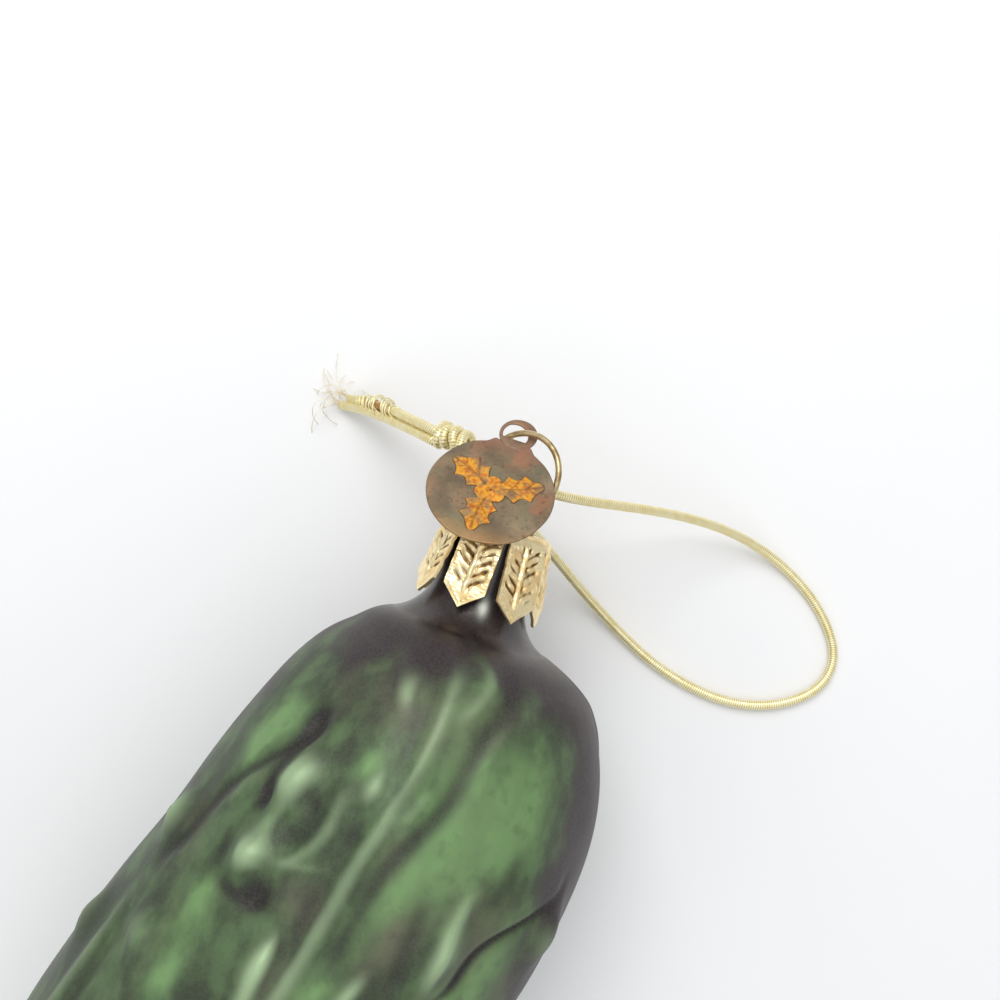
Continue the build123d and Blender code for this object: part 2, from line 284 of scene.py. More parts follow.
# Where the lacquer is a fresher green, and where it has browned, as (distance, angle, length, width)
fresh_areas = [
    (13.5, 27, 5.4, 5.0), (17.5, 21, 4.8, 5.0), (21.5, 13.5, 4.8, 4.0), (26, 8, 4.4, 2.8),
    (16.8, -49, 3.0, 2.2), (21.5, -54, 4.0, 2.2), (40, -35, 4.5, 1.5), (48, -29, 4.0, 1.4),
    (16, -16.3, 2.0, 1.2), (29, 46, 5.0, 3.0), (38, 40, 6.0, 4.0), (40, 4, 5.0, 2.6),
]
brown_areas = [
    (8.5, -19, 3.6, 4.0), (31.8, -12, 2.4, 2.4), (30.9, 12.4, 4.6, 1.6), (26.4, 38.2, 3.8, 1.9),
    (23, 1.8, 3.0, 1.4), (36, 33, 3.4, 1.8),
]

# The blown wall swells in slow waves that die out at the shoulder, at the tip and underneath.
wave_height = 0.28
ripple_height = 0.18
height = wave_height * np.sin(3 * body_angle + 0.07 * body_distance + 0.6)
ripple = ripple_height * np.sin(7 * body_angle - 0.11 * body_distance + 2.0)
height = height + ripple * np.cos(0.19 * body_distance)
height = height * smooth(body_distance, 1, 9) * (1 - smooth(body_distance, 86, 95))
height = height * (1 - smooth(-np.cos(body_angle), 0.80, 0.95))
# The painted light: highlights on the ridges and warts, shade in the creases and dents.
tone = np.zeros_like(height)
for rise, paleness, width, points in mould_lines:
    line = streak(points, width)
    height = height + rise * line
    tone = tone + paleness * line
for distance, degrees, rise, length, width, paleness in warts:
    spot = lump(distance, degrees, length, width)
    height = height + rise * spot
    tone = tone + paleness * spot
fresh = np.clip(sum(lump(*area) for area in fresh_areas), 0, 1)
brown = np.clip(sum(lump(*area) for area in brown_areas), 0, 1)
# Underneath, four broad warts come down to the table, and the ornament rests on them.
foot_spacing = 26.0
foot_angle = 15.0
foot_width = 4.2
for distance in (belly_at - foot_spacing / 2, belly_at + foot_spacing / 2):
    row_radius = np.interp(distance, outer_wall[0, ::-1], outer_wall[1, ::-1])
    for side in (-1, 1):
        spot = lump(distance, 180 + side * foot_angle, foot_width, foot_width)
        level = axis_height / np.cos(np.radians(foot_angle)) - row_radius
        height = height * (1 - spot) + level * spot

# Where the green shows: not on the shoulder, which is painted purple brown with ragged fingers, nor down
# the flanks, where purple brown painted shade darkens the body's edges.
shoulder_end = (0.5, 9.5)
brown_shoulder_at = -42
brown_shoulder_reach = 3.4
brown_shoulder_turn = 0.42
flank_at = 80
left_flank_at = -90
left_flank_edge = (0.02, 0.48)
left_flank_share = 0.8
flank_end = (30, 64)
fingers = 1.3 * np.sin(9 * body_angle + 1.0) + 0.9 * np.sin(17 * body_angle - 0.8)
browned = brown_shoulder_reach * bell(round_from(brown_shoulder_at) / body_radius / brown_shoulder_turn)
green = smooth(body_distance + fingers - browned, *shoulder_end)
ragged = 0.09 * np.sin(0.31 * body_distance + 5 * body_angle)
ragged = ragged + 0.06 * np.sin(0.83 * body_distance - 7 * body_angle + 1.0)
# The flank bands are painted shade along the body's edges, and they fade out towards the tip.
flank_fade = 1 - smooth(body_distance + 40 * ragged, *flank_end)
turn_from_flank = np.abs(round_from(flank_at)) / body_radius + 0.7 * ragged
flank_width = np.radians(45 - 0.6 * np.clip(body_distance, 0, 40))
flank = 1 - smooth(turn_from_flank, 0.40 * flank_width, 1.25 * flank_width)
green = green * (1 - flank * flank_fade)
turn_from_left = np.abs(round_from(left_flank_at)) / body_radius + ragged
left_flank = 1 - smooth(turn_from_left, *left_flank_edge)
green = green * (1 - left_flank_share * left_flank * flank_fade)


class Value:
    """One output of a shader node. Arithmetic on it adds Math nodes, and node() adds any other node."""

    def __init__(self, tree, socket=None):
        self.tree = tree
        self.socket = socket

    def node(self, kind, settings=None, inputs=None, output=0):
        """Adds a node: its settings first, then a number, a colour or a link for each named socket."""
        made = self.tree.nodes.new("ShaderNode" + kind)
        for name, setting in (settings or {}).items():
            setattr(made, name, setting)
        for name, given in (inputs or {}).items():
            if isinstance(given, Value):
                self.tree.links.new(given.socket, made.inputs[name])
            else:
                made.inputs[name].default_value = given
        return Value(self.tree, made.outputs[output] if made.outputs else None)

    def maths(self, operation, first, second):
        """Value of one Math node on two values or numbers."""
        return self.node("Math", {"operation": operation}, {0: first, 1: second})

    def __add__(self, other):
        return self.maths("ADD", self, other)

    def __sub__(self, other):
        return self.maths("SUBTRACT", self, other)

    def __rsub__(self, other):
        return self.maths("SUBTRACT", other, self)

    def __mul__(self, other):
        return self.maths("MULTIPLY", self, other)

    __radd__ = __add__
    __rmul__ = __mul__

    def step(self, low, high):
        """Smooth step of this value, from 0 at low to 1 at high."""
        edges = {"Value": self, "From Min": low, "From Max": high}
        return self.node("MapRange", {"interpolation_type": "SMOOTHSTEP"}, edges)

    def mix(self, none, full):
        """Colour between two, by this value."""
        return self.node("Mix", {"data_type": "RGBA"}, {0: self, 6: none, 7: full}, 2)

    def attribute(self, name):
        """Value of a field on the mesh's points."""
        return self.node("Attribute", {"attribute_name": name}, output="Fac")

    def noise(self, size, detail=3.0, stretch=(1, 1, 1), seed=0.0):
        """Noise of a size in millimetres on the piece's own coordinates, about 0.5 on average."""
        place = self.node("TexCoord", output="Object")
        moved = {"Vector": place, "Location": (seed, seed, seed), "Scale": stretch}
        place = self.node("Mapping", None, moved)
        return self.node("TexNoise", None, {"Vector": place, "Scale": 1 / (size * MM), "Detail": detail})


def tint(red, green, blue):
    """Linear colour of a screen colour given as 0 to 255."""
    screen = np.array([red, green, blue]) / 255
    linear = np.where(screen > 0.04045, ((screen + 0.055) / 1.055) ** 2.4, screen / 12.92)
    return (*linear.tolist(), 1.0)


def finish(name):
    """A new material, and a value to start its nodes from."""
    material = bpy.data.materials.new(name)
    material.use_nodes = True
    material.node_tree.nodes.clear()
    return material, Value(material.node_tree)


def shade(start, inputs, bump=None, depth=0.0):
    """Ends a material in a Principled shader. A bump has a height value and its depth in millimetres."""
    if bump is not None:
        grooves = {"Height": bump, "Distance": depth * MM, "Strength": 1.0}
        inputs["Normal"] = start.node("Bump", None, grooves)
    surface = start.node("BsdfPrincipled", None, inputs)
    start.node("OutputMaterial", None, {"Surface": surface})


def show(name, data):
    """A new object in the scene."""
    made = bpy.data.objects.new(name, data)
    bpy.context.scene.collection.objects.link(made)
    return made


def skin(name, grids, material, body, replaced=(), fields=None, looped=False, sharp=None):
    """Piece of closed skins. A grid is rings of points, and four-sided faces join neighbouring rings.

    The end rings are closed by fans to their middles, or joined to each other where the skin is looped.
    Fields are values on the points. A skin whose faces enclose a negative volume is turned right way out.
    """
    points = []
    faces = []
    values = {key: [] for key in fields or {}}
    count = 0
    for number, grid in enumerate(grids):
        rings, sides = grid.shape[:2]
        index = np.arange(rings * sides).reshape(rings, sides)
        index = np.concatenate([index, index[:1]]) if looped else index
        beside = np.roll(index, -1, axis=1)
        quads = np.stack([index[:-1], index[1:], beside[1:], beside[:-1]], axis=-1).reshape(-1, 4)
        flat = grid.reshape(-1, 3)
        fans = np.zeros((0, 3), int)
        if not looped:
            ends = np.stack([grid[0].mean(axis=0), grid[-1].mean(axis=0)])
            first = np.stack([np.full(sides, len(flat)), index[0], beside[0]], axis=-1)
            last = np.stack([np.full(sides, len(flat) + 1), beside[-1], index[-1]], axis=-1)
            fans = np.concatenate([first, last])
            flat = np.concatenate([flat, ends])
        triangles = np.concatenate([quads[:, :3], quads[:, [0, 2, 3]], fans])
        a, b, c = (flat[triangles[:, corner]] - flat.mean(axis=0) for corner in range(3))
        if np.einsum("ij,ij->", a, np.cross(b, c)) < 0:
            quads, fans = quads[:, ::-1], fans[:, ::-1]
        points.append(home + MM * flat)
        faces += (quads + count).tolist() + (fans + count).tolist()
        count += len(flat)
        for key in values:
            field = fields[key][number]
            ends = np.array([] if looped else [field[0].mean(), field[-1].mean()])
            values[key].append(np.concatenate([field.ravel(), ends]))
    mesh = bpy.data.meshes.new(name)
    mesh.from_pydata(np.concatenate(points), [], faces)
    for key, parts in values.items():
        layer = mesh.attributes.new(key, "FLOAT", "POINT")
        layer.data.foreach_set("value", np.concatenate(parts).astype(np.float32))
    mesh.shade_smooth()
    if sharp is not None:
        mesh.set_sharp_from_angle(angle=np.radians(sharp))
    mesh.materials.append(material)
    piece = show(name, mesh)
    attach(piece, body)
    if replaced:
        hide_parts(*replaced)
    return piece


deep_green = tint(52, 62, 43)
fresh_green = tint(116, 151, 96)
rusty_green = tint(106, 103, 84)
mottle_green = tint(46, 54, 40)
shoulder_brown = tint(48, 37, 40)
crease_brown = tint(38, 34, 31)
ridge_pale = tint(162, 186, 144)
grain_grey = tint(124, 130, 114)
bare_silver = tint(226, 228, 214)
lacquer, start = finish("satin_green_lacquer")
tone_value = start.attribute("tone")
green_value = start.attribute("green")
patches = start.noise(6.0, 3.0, stretch=(1.0, 0.4, 1.0))
blotches = start.noise(2.2, 4.0, stretch=(1.0, 0.6, 1.0), seed=3.0)
mottle = start.noise(2.0, 3.0, seed=11.0)
grain = start.noise(0.3, 2.0)
leaf = (patches * 0.55 + blotches * 0.45).step(0.40, 0.66) * 0.45 + start.attribute("fresh") * 0.85
colour = leaf.mix(deep_green, fresh_green)
rusty = start.noise(8.0, 2.0, stretch=(1.0, 0.5, 1.0), seed=7.0).step(0.54, 0.72) * 0.35
colour = (rusty + start.attribute("brown") * 0.6).mix(colour, rusty_green)
colour = (mottle.step(0.48, 0.74) * 0.28).mix(colour, mottle_green)
# Purple brown paint on the shoulder, and painted shade in the same purple brown down the flanks.
colour = (green_value + (blotches - 0.5) * 0.45).step(0.1, 0.9).mix(shoulder_brown, colour)
# Painted shade in the creases and dents, partly dark lacquer held there, and painted highlights on the
# ridges and warts, partly lacquer worn pale.
colour = (tone_value * -1.0).step(0.0, 1.0).mix(colour, crease_brown)
colour = (tone_value.step(0.0, 1.1) * green_value.step(0.0, 0.6)).mix(colour, ridge_pale)
colour = (grain.step(0.35, 0.65) * 0.08).mix(colour, grain_grey)
# Painted highlight on the neck, in pale silver.
colour = start.attribute("worn").mix(colour, bare_silver)
gloss = start.attribute("neck")
shade(start, {
    "Base Color": colour, "Roughness": 0.50 - gloss * 0.2 + (blotches - 0.5) * 0.12, "Metallic": 0.35,
    "Coat Weight": 0.06 + gloss * 0.3, "Coat Roughness": 0.3,
}, grain * 0.4 + blotches, 0.04)

inner_distance, inner_radius = inner_wall[..., None]
smooth_outer = body_rings(body_distance, body_radius, body_angle)
inner_rings = body_rings(inner_distance, inner_radius, body_angle)
outward = unit(np.cross(np.roll(smooth_outer, -1, axis=1) - np.roll(smooth_outer, 1, axis=1),
                        np.gradient(smooth_outer, axis=0)))
glass_rings = np.concatenate([smooth_outer + outward * height[..., None], inner_rings])
glass_rings[..., 2] = np.maximum(glass_rings[..., 2], 0.0)
neck = np.broadcast_to(1 - smooth(body_distance, 0.0, 3.0), height.shape)
inner_none = np.zeros(inner_rings.shape[:2])
fields = {"tone": tone, "green": green, "fresh": fresh, "brown": brown}
fields = {key: [np.concatenate([field, inner_none])] for key, field in fields.items()}
fields["neck"] = [np.concatenate([neck, inner_none + 1])]
all_distance = np.concatenate([body_distance, inner_distance])
all_radius = np.concatenate([body_radius, inner_radius])
# A painted highlight: a small pale silver spot on the neck.
worn_at = -2.4
worn_angle = np.radians(8.5)
worn_length = 0.9
worn_width = 0.55
worn_most = 0.9
worn_along = ((all_distance - worn_at) / worn_length) ** 2
worn_round = ((body_angle - worn_angle) * all_radius / worn_width) ** 2
fields["worn"] = [worn_most * np.exp(-worn_along - worn_round)]
skin("pickle_glass", [glass_rings], lacquer, "glass", ["glass_body"], fields)

# Crown cap: one piece of thin pale gold sheet, stamped as a disc with seven pointed petals, which are
# folded down round the neck. Each petal is embossed with a fern: a midrib, slanting veins and a border
# of beads.
cap_fit = 0.1
cap_radius = neck_radius + cap_fit + cap_sheet
cap_fold = 0.8
petal_count = 7
petal_half = 2.5
petal_length = 10.0
petal_point = 2.1
petal_flare = np.radians(8.0)
petal_turn = np.radians(-14.0)
petal_root = 5.12
petal_slit = 0.03
petal_blunt = 0.02
petal_leans = np.radians((0.0, 1.5, -1.0, 0.8, 2.5, -0.5, 1.2))
petal_asides = np.radians((-1.5, -3.0, -2.0, 0.0, 0.0, 0.0, 0.0))
petal_twists = np.radians((0.0, 0.0, 15.0, 0.0, 0.0, -6.0, 0.0))
petal_columns = 36
petal_rows = 104
fold_rows = 9
midrib_width = 0.22
midrib_height = 0.18
midrib_groove = 0.42
groove_width = 0.16
vein_pitch = 1.1
vein_slant = 0.75
vein_edge = 2.05
vein_width = 0.22
vein_depth = 0.24
bead_line = 2.12
bead_pitch = 0.42
bead_width = 0.15
bead_height = 0.09
dent_height = 0.07
crumple_height = 0.07
disc_lap = 0.15
disc_wave = 0.06
disc_rise = 0.02
disc_columns = 168
disc_rows = 26


def fern(across, along, number):
    """Relief of a petal: a raised midrib, veins pressed in beside it and a row of beads along each edge.

    A vein is a bell curve where along + slant |x| is a whole number of pitches, and some are pressed
    deeper than others. Sines whose phase differs from petal to petal crumple the sheet.
    """
    side = np.abs(across)
    tip = petal_length - 1.0
    inside = smooth(along, 0.9, 1.8) * (1 - smooth(along + 0.7 * side, tip - 1.3, tip - 0.3))
    count = (along + vein_slant * side) / vein_pitch + 0.37 * number
    vein = np.round(count)
    press = 0.74 + 0.26 * np.sin(7.3 * vein + 2.9 * number + 1.9 * np.sign(across))
    veins = press * bell((count - vein) * vein_pitch / vein_width)
    veins = veins * smooth(side, 0.12, 0.5) * (1 - smooth(side, vein_edge - 0.4, vein_edge))
    midrib = bell(side / midrib_width) - 0.5 * bell((side - midrib_groove) / groove_width)
    edge = bead_line - np.maximum(along - (petal_length - petal_point - 0.4), 0) * 1.05
    beads = bell((side - edge) / bead_width) * (0.5 + 0.5 * np.cos(2 * np.pi * along / bead_pitch))
    crumple = np.sin(1.9 * along + 1.1 * across + 2.1 * number)
    crumple = crumple * np.cos(1.7 * across - 0.6 * along + 0.7 * number)
    dents = np.sin(4.3 * along - 2.2 * across + 1.3 * number)
    dents = dents * np.sin(3.1 * across + 1.2 * along + number)
    pressed = inside * (midrib_height * midrib - vein_depth * veins + dent_height * dents)
    return pressed + bead_height * beads * smooth(along, 0.3, 0.9) + crumple_height * crumple


def petal_rings(number):
    """Rings round a petal's sheet, from its root on the disc to its point, and the relief on them.

    The middle line runs flat, round the fold and straight down, leaning out by the flare. Each ring goes
    across the outside of the sheet and back across the inside.
    """
    lean = petal_flare + petal_leans[number]
    bend = np.pi / 2 - lean
    knee = cap_radius - cap_fold * np.tan(bend / 2)
    turn = np.linspace(0, bend, fold_rows)
    reach = np.concatenate([[petal_root], knee + cap_fold * np.sin(turn)])
    drop = np.concatenate([[0.0], cap_fold * (np.cos(turn) - 1)])
    run = np.linspace(0, (petal_length + drop[-1]) / np.cos(lean), petal_rows)[1:]
    reach = np.concatenate([reach, reach[-1] + run * np.sin(lean)])
    drop = np.concatenate([drop, drop[-1] - run * np.cos(lean)])
    facing = np.concatenate([[0.0], turn, np.full(len(run), bend)])
    half = np.clip((petal_length + drop) / petal_point, petal_blunt, 1) * petal_half
    half = np.minimum(half, reach * np.tan(np.pi / petal_count) - petal_slit)[:, None]
    across = np.linspace(-1, 1, petal_columns)[None, :] * half
    relief = fern(across, -drop[:, None], number)
    both = np.concatenate([across, across[:, ::-1]], axis=1)
    lift = np.concatenate([relief, relief[:, ::-1] - cap_sheet], axis=1)
    twisted = np.sin(petal_twists[number] * -drop / petal_length)[:, None]
    out = reach[:, None] + lift * np.sin(facing)[:, None] + both * twisted
    y = drop[:, None] + lift * np.cos(facing)[:, None]
    angle = petal_turn + 2 * np.pi * number / petal_count + petal_asides[number]
    x = out * np.sin(angle) + both * np.cos(angle)
    z = axis_height + out * np.cos(angle) - both * np.sin(angle)
    return np.stack([x, y, z], axis=-1), np.concatenate([relief, relief[:, ::-1]], axis=1)


def cap_disc():
    """Seven-sided disc that the petals grow from: rings out across its wavy top and back below it."""
    angle = circle(disc_columns)[None, :]
    pitch = 2 * np.pi / petal_count
    from_petal = (angle - petal_turn + pitch / 2) % pitch - pitch / 2
    share = np.linspace(0.03, 1, disc_rows)[:, None]
    edge = (petal_root + disc_lap) / np.cos(from_petal)
    relief = disc_wave * np.cos(2 * np.pi * share * 2.5) * (1 - smooth(share, 0.75, 0.95)) + disc_rise
    radius = np.concatenate([share, share[::-1]]) * edge
    y = np.concatenate([relief, relief[::-1] - cap_sheet]) + 0 * edge
    x = radius * np.sin(angle)
    z = axis_height + radius * np.cos(angle)
    return np.stack([x, y, z], axis=-1), y


sheet_bright = tint(255, 237, 188)
sheet_dull = tint(244, 210, 148)
pressed_brown = tint(112, 80, 42)
scuff_brown = tint(150, 112, 66)
gold_sheet, start = finish("pale_gold_sheet")
relief_value = start.attribute("relief")
dull = start.noise(2.4, 4.0, seed=2.0)
scuffs = start.noise(0.5, 3.0, seed=5.0)
colour = dull.step(0.35, 0.7).mix(sheet_bright, sheet_dull)
colour = (1 - relief_value.step(-0.22, -0.02)).mix(colour, pressed_brown)
colour = (scuffs.step(0.62, 0.75) * 0.5).mix(colour, scuff_brown)
shade(start, {
    "Base Color": colour, "Roughness": 0.24 + dull * 0.22, "Metallic": 0.88,
}, scuffs, 0.03)

petals = [petal_rings(number) for number in range(petal_count)] + [cap_disc()]
skin("crown_petals", [rings for rings, _ in petals], gold_sheet, "cap", ["crown_cap"],
     {"relief": [relief for _, relief in petals]}, sharp=50)

# Bail: one springy brass wire, bent to an arch that stands out of the cap. Its two legs go through holes
# in the cap's disc and grip the inside of the neck.
wire_radius = 0.375
bail_spread = 3.7
bail_reach = 11.4
arch_radius = 4.8
leg_stand = 1.0
leg_bend = 2.0
leg_length = 7.5
bail_roll = np.radians(28.0)
wire_sides = 20
leg_points = 14
bend_points = 8
slant_points = 5
arch_points = 34
arch_centre = bail_reach - arch_radius
bail_across = np.array([np.cos(bail_roll), 0, np.sin(bail_roll)])
neck_axis = np.array([0.0, 1.0, 0.0])
bail_pivot = np.array([0, -cap_sheet / 2, axis_height])


def tube(path, radius, sides, phase=0.0):
    """Rings of a tube along a path, which turn with the path and don't twist about it.

    Each ring has a side direction square to the path. The angle by which the side carried on from the
    ring before misses the next ring's own is summed along the path and taken out.
    """
    ahead = unit(np.gradient(path, axis=0))
    aside = unit(np.cross(ahead, np.eye(3)[np.argmin(np.abs(ahead), axis=1)]))
    carried = aside[:-1] - ahead[1:] * np.sum(aside[:-1] * ahead[1:], axis=1, keepdims=True)
    sine = np.sum(np.cross(aside[1:], carried) * ahead[1:], axis=1)
    slip = np.arctan2(sine, np.sum(aside[1:] * carried, axis=1))
    turn = np.concatenate([[0.0], np.cumsum(slip)])
    angle = (turn + phase)[:, None] + circle(sides)
    up = np.cross(ahead, aside)
    ring = np.cos(angle)[..., None] * aside[:, None] + np.sin(angle)[..., None] * up[:, None]
    return path[:, None] + np.broadcast_to(radius, angle.shape)[..., None] * ring


def bail_path():
    """Half the wire in its own plane, then its mirror image.

    Leg, bend, slant and arch follow on each other by tangents and arcs.
    """
    stand = np.array([bail_spread, leg_stand])
    lean = np.arctan2(leg_stand - arch_centre, bail_spread)
    touch = lean + np.arccos(arch_radius / np.hypot(bail_spread, arch_centre - leg_stand))
    meet = np.array([arch_radius * np.cos(touch), arch_centre + arch_radius * np.sin(touch)])
    slant = unit(meet - stand)
    bend = np.arccos(slant[1])
    side = np.sign(slant[0])
    tangent = leg_bend * np.tan(bend / 2)
    leg = np.linspace((bail_spread, -leg_length), stand - (0, tangent), leg_points)
    turn = np.linspace(0, bend, bend_points)[1:]
    curve = leg[-1] + leg_bend * np.stack([side * (1 - np.cos(turn)), np.sin(turn)], axis=1)
    run = np.linspace(curve[-1], meet, slant_points)[1:-1]
    sweep = np.linspace(touch, np.pi / 2, arch_points)
    arch = np.stack([arch_radius * np.cos(sweep), arch_centre + arch_radius * np.sin(sweep)], axis=1)
    half = np.concatenate([leg, curve, run, arch])
    whole = np.concatenate([half, half[-2::-1] * (-1, 1)])
    return bail_pivot + whole[:, :1] * bail_across + whole[:, 1:] * neck_axis


wire_bright = tint(206, 184, 140)
wire_stained = tint(150, 128, 88)
brass, start = finish("brass_wire")
stain = start.noise(1.6, 4.0)
drawn = start.noise(0.25, 2.0, seed=4.0)
colour = stain.step(0.4, 0.68).mix(wire_bright, wire_stained)
shade(start, {"Base Color": colour, "Roughness": 0.26 + stain * 0.2, "Metallic": 1.0}, drawn, 0.02)
skin("bail_loop_wire", [tube(bail_path(), wire_radius, wire_sides)], brass, "bail",
     ["bail_wire"])

# Tag: a round disc stamped from thin brass, with a sprig of three leaves and berries in worn orange
# lacquer. Its eye is punched from the same sheet and hangs on the bail, and the disc lies over the cap.
tag_radius = 7.35
tag_sheet = 0.3
eye_hole = 1.65
eye_rim = 0.65
eye_shift = 0.2
eye_floor = 0.85
eye_angle = np.radians(30.0)
tag_lift = np.radians(8.0)
tag_gap = 0.5
eye_reach = tag_radius + eye_hole
shoulder_turn = np.radians(15.5)
shoulder_spread = np.radians(5.0)
shoulder_rise = 0.55
motif_height = 0.20
rib_depth = 0.09
rib_width = 0.13
tag_columns = 300
face_rows = 92
rim_rows = 9
rear_step = 6
eye_columns = 72
eye_sides = 16


def tag_axes():
    """The eye's centre and the tag's own axes: across, up towards the eye, and out of its face.

    The tag passes through the wire at the eye and clears the upper edge of the cap's fold by the gap.
    """
    wire_run = bail_across * np.cos(eye_angle) + neck_axis * np.sin(eye_angle)
    point = bail_pivot + neck_axis * (arch_centre + arch_radius * np.cos(eye_angle))
    point = point - bail_across * arch_radius * np.sin(eye_angle)
    across = np.array([np.cos(tag_lift), 0, np.sin(tag_lift)])
    fold_drop = cap_fold * (1 - np.cos(np.pi / 4))
    corner = np.array([0, -fold_drop, axis_height + np.hypot(cap_radius - fold_drop, petal_half)])
    lean = unit(np.cross(across, point - corner))
    face = unit(np.cross(across, point - corner - lean * (tag_gap + tag_sheet / 2)))
    up = np.cross(face, across)
    shadow = unit(np.array([wire_run @ across, wire_run @ up]))
    return point + eye_shift * (shadow[0] * across + shadow[1] * up), across, up, face


leaf_length = 5.9
leaf_half = 2.15
leaf_turns = np.radians((152.0, 28.0, 268.0))
berry_radius = 0.95
berry_ring = 1.0


def sprig(x, y):
    """Shares of the motif and of its veins at points of the disc: three holly leaves and three berries.

    A leaf's half width is sin(pi p)^0.7 of its greatest, with spikes from 1 - |sin(3 pi p)| along it.
    """
    motif = np.zeros_like(x)
    veins = np.zeros_like(x)
    for turn in leaf_turns:
        along = (x * np.cos(turn) + y * np.sin(turn) - 0.35) / leaf_length
        across = y * np.cos(turn) - x * np.sin(turn) + 0.25 * np.sin(np.pi * along)
        inside = np.clip(along, 0.001, 0.999)
        spikes = 0.62 + 0.38 * (1 - np.abs(np.sin(3 * np.pi * inside)))
        half = leaf_half * np.sin(np.pi * inside) ** 0.7 * spikes
        leaf_share = smooth(half - np.abs(across), -0.10, 0.14) * (np.abs(along - 0.5) < 0.5)
        motif = np.maximum(motif, leaf_share)
        ribs = bell(across / rib_width)
        side_ribs = np.cos(6 * np.pi * (along - np.abs(across) / leaf_length))
        ribs = np.maximum(ribs, 0.7 * smooth(side_ribs, 0.8, 1.0))
        veins = np.maximum(veins, leaf_share * ribs)
    for number in range(3):
        turn = np.pi / 2 + 2 * np.pi * number / 3
        gap = np.hypot(x - berry_ring * np.cos(turn), y - berry_ring * np.sin(turn))
        berry = np.sqrt(np.clip(1 - (gap / berry_radius) ** 2, 0, 1))
        motif = np.maximum(motif, smooth(berry, 0.0, 0.5))
        veins = veins * (1 - smooth(berry, 0.0, 0.3))
    return motif, veins


def tag_rings():
    """Disc: rings out across its stamped face, round its edge and back across its rear.

    With them come the motif, its veins, and how near a point is to the eye, from -1 to 1.
    """
    angle = circle(tag_columns)[None, :]
    face_share = np.linspace(0.012, 1, face_rows)[:, None] * (1 - 0.5 * tag_sheet / tag_radius)
    rim_turn = np.linspace(np.pi / 2, -np.pi / 2, rim_rows)[1:-1, None]
    rim_share = 1 - 0.5 * tag_sheet / tag_radius * (1 - np.cos(rim_turn))
    rear_share = face_share[::-rear_step]
    share = np.concatenate([face_share, rim_share, rear_share])
    level = np.concatenate([np.full_like(face_share, 0.5), 0.5 * np.sin(rim_turn),
                            np.full_like(rear_share, -0.5)]) * tag_sheet
    from_eye = np.abs(angle - np.pi / 2)
    radius = tag_radius + shoulder_rise * bell((from_eye - shoulder_turn) / shoulder_spread)
    x = radius * share * np.cos(angle)
    y = radius * share * np.sin(angle)
    motif, veins = sprig(x, y)
    worn = 0.05 * np.sin(1.3 * x + 0.4) * np.cos(1.1 * y) + 0.10 * np.sin(0.55 * x + 0.8 * y)
    raised = motif_height * motif - rib_depth * veins
    centre, across, up, out = tag_axes()
    centre = centre - eye_reach * up
    lift = level + worn + raised
    rings = centre + x[..., None] * across + y[..., None] * up + lift[..., None] * out
    front = np.broadcast_to(level > 0, x.shape)
    return rings, motif * front, veins * front, y / tag_radius


def eye_rings():
    """Flat ring: a superellipse section, rim wide and a sheet thick, carried round the eye's circle.

    The rim is wider on one side, and below the wire the sheet fills the hole up to a straight line.
    """
    turn = circle(eye_columns)[:, None]
    section = circle(eye_sides)[None, :]
    inner = eye_hole - 0.4 * np.clip(np.cos(turn - 0.8), 0, 1)
    inner = np.minimum(inner, eye_floor / np.maximum(-np.sin(turn), 1e-3))
    outer = eye_hole + eye_rim * (0.95 + 0.3 * np.cos(turn))
    wide = np.sign(np.cos(section)) * np.abs(np.cos(section)) ** 0.6 * (outer - inner) / 2
    thick = np.sign(np.sin(section)) * np.abs(np.sin(section)) ** 0.6 * tag_sheet / 2
    radius = (inner + outer) / 2 + wide
    centre, across, up, out = tag_axes()
    ring = radius[..., None] * (np.cos(turn)[..., None] * across + np.sin(turn)[..., None] * up)
    return centre + ring + thick[..., None] * out


tag_brown = tint(116, 101, 80)
tag_tan = tint(146, 126, 98)
tag_olive = tint(112, 112, 88)
tag_copper = tint(164, 112, 82)
tag_speck = tint(84, 72, 56)
edge_gold = tint(182, 138, 84)
eye_red = tint(150, 104, 86)
bright_orange = tint(222, 156, 38)
deep_orange = tint(190, 104, 16)
outline_brown = tint(70, 52, 34)
vein_brown = tint(120, 78, 34)
tarnish, start = finish("tarnished_brass")
motif_value = start.attribute("motif")
cloud = start.noise(3.2, 5.0, seed=1.0)
speck = start.noise(0.45, 3.0, seed=6.0)
rubbed = start.noise(1.8, 4.0, seed=9.0)
colour = cloud.step(0.34, 0.66).mix(tag_brown, tag_tan)
colour = (start.noise(5.0, 2.0, seed=12.0).step(0.48, 0.66) * 0.7).mix(colour, tag_olive)
colour = (start.noise(4.0, 3.0, seed=21.0).step(0.50, 0.70) * 0.7).mix(colour, tag_copper)
colour = (speck.step(0.54, 0.72) * 0.55).mix(colour, tag_speck)
orange = speck.step(0.40, 0.66).mix(bright_orange, deep_orange)
near_eye = start.attribute("near_eye")
colour = ((near_eye * -1.0).step(0.55, 0.98) * 0.5).mix(colour, edge_gold)
colour = (near_eye.step(0.65, 1.0) * 0.6).mix(colour, eye_red)
held = motif_value.step(0.35, 0.75) * (1 - rubbed.step(0.48, 0.62) * 0.75)
colour = held.mix(colour, orange)
outline = motif_value.step(0.02, 0.3) * (1 - motif_value.step(0.35, 0.8))
colour = (outline * 0.75).mix(colour, outline_brown)
colour = (start.attribute("veins") * 0.6).mix(colour, vein_brown)
shade(start, {
    "Base Color": colour, "Roughness": 0.42 + speck * 0.2, "Metallic": 0.55 - held * 0.3,
}, speck * 0.6 + cloud, 0.06)
tag_face, tag_motif, tag_veins, tag_near = tag_rings()
